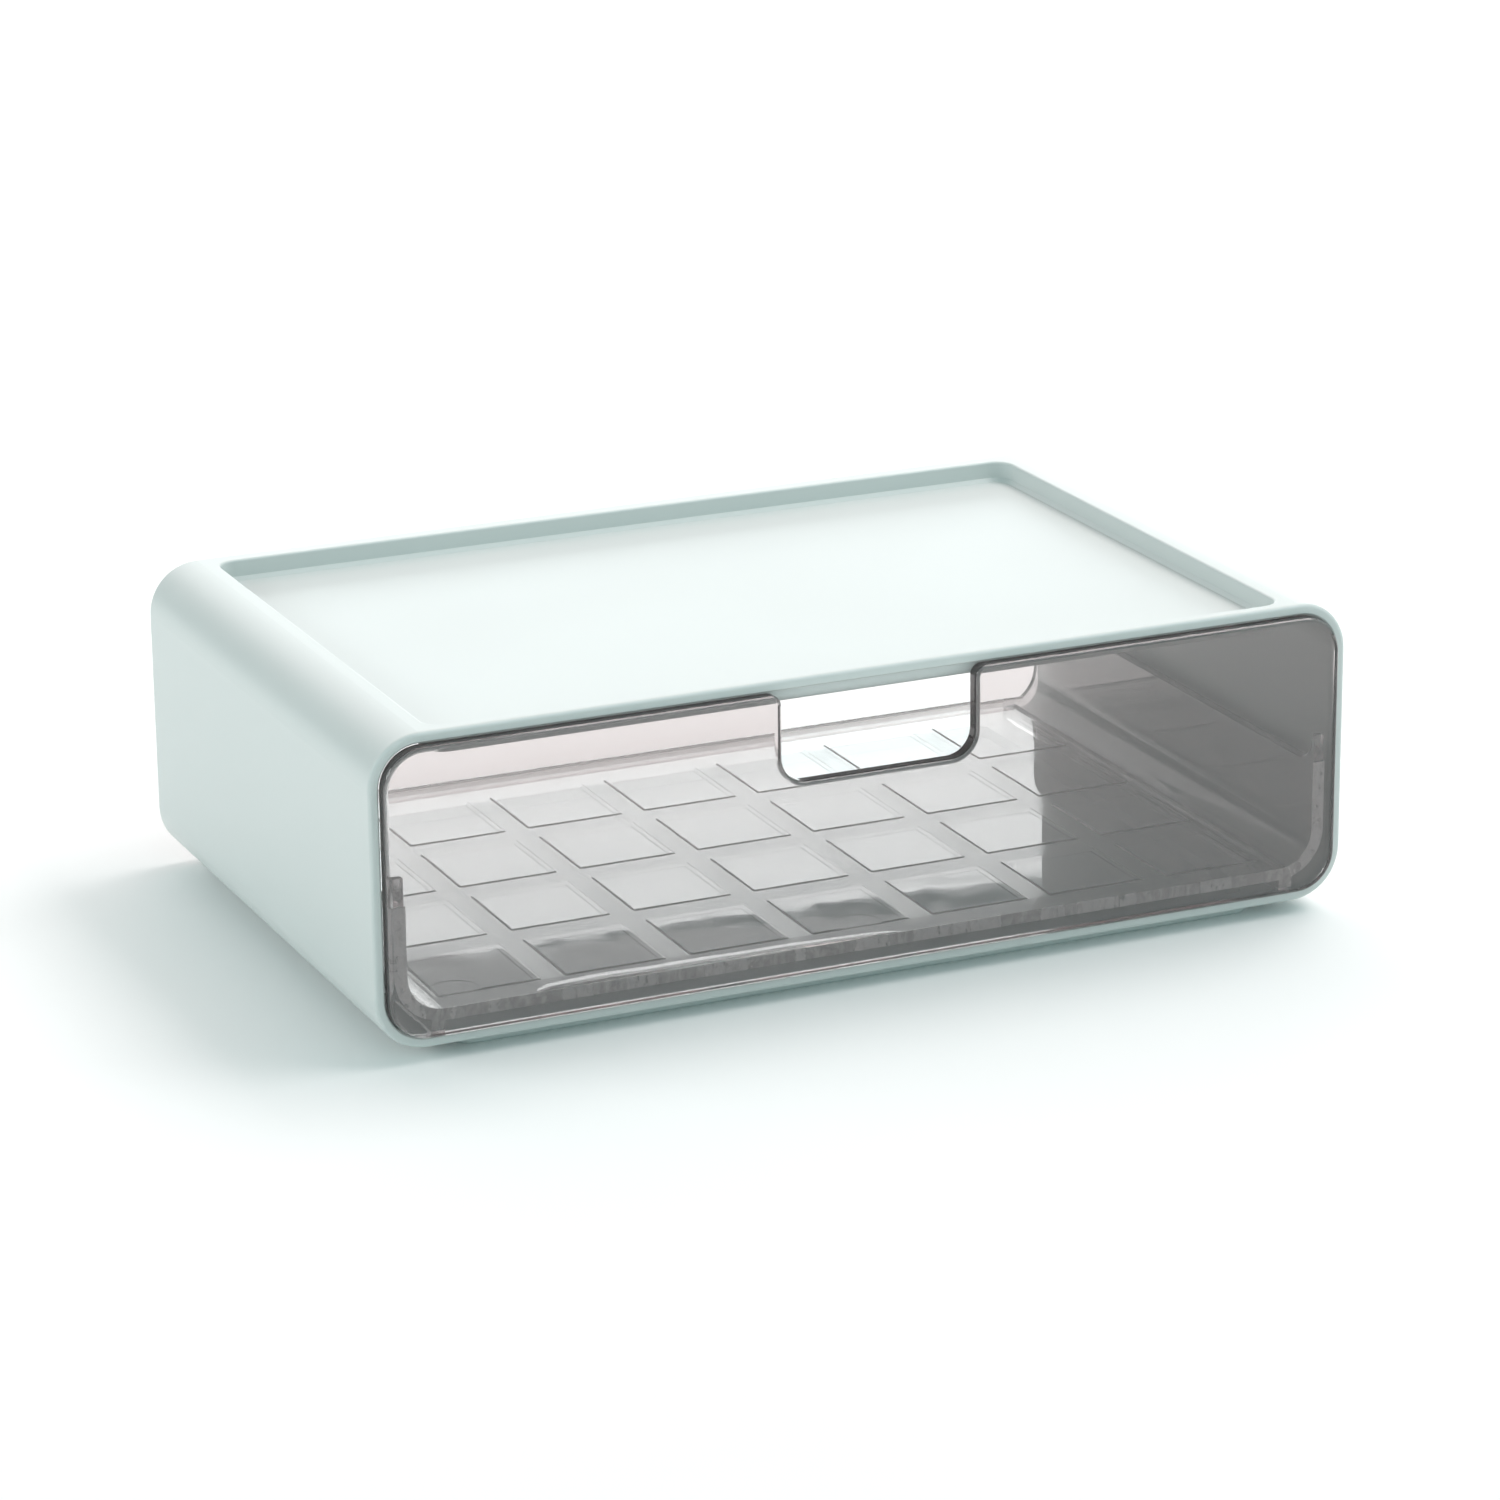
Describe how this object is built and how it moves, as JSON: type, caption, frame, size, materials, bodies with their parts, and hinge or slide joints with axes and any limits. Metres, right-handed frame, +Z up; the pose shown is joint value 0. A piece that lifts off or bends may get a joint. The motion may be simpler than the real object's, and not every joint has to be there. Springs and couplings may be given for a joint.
{
  "type": "stackable drawer box",
  "caption": "Low rounded storage box with a sunken stacking top and a plinth, holding a smoky clear drawer with a finger notch that slides out of the open front.",
  "frame": {"origin": "bottom centre of the whole box with the drawer shut, on the plane that the plinth stands on", "axes": "+X along the front to the right, +Y from the front to the back, +Z up"},
  "size_m": [0.26, 0.1624, 0.081],
  "materials": {
    "shell": "satin moulded plastic, pale mint",
    "smoke": "polished clear plastic with a smoky grey tint",
    "bond": "frosted, mottled bonded seam"
  },
  "bodies": {
    "housing": {"housing": "shell"},
    "drawer": {"drawer_tray": "smoke", "drawer_front": "smoke", "drawer_bond": "bond"}
  },
  "joints": [
    {"name": "drawer_slide", "type": "slide", "parent": "housing", "child": "drawer", "axis": [0, -1, 0], "range_m": [0, 0.11]}
  ]
}
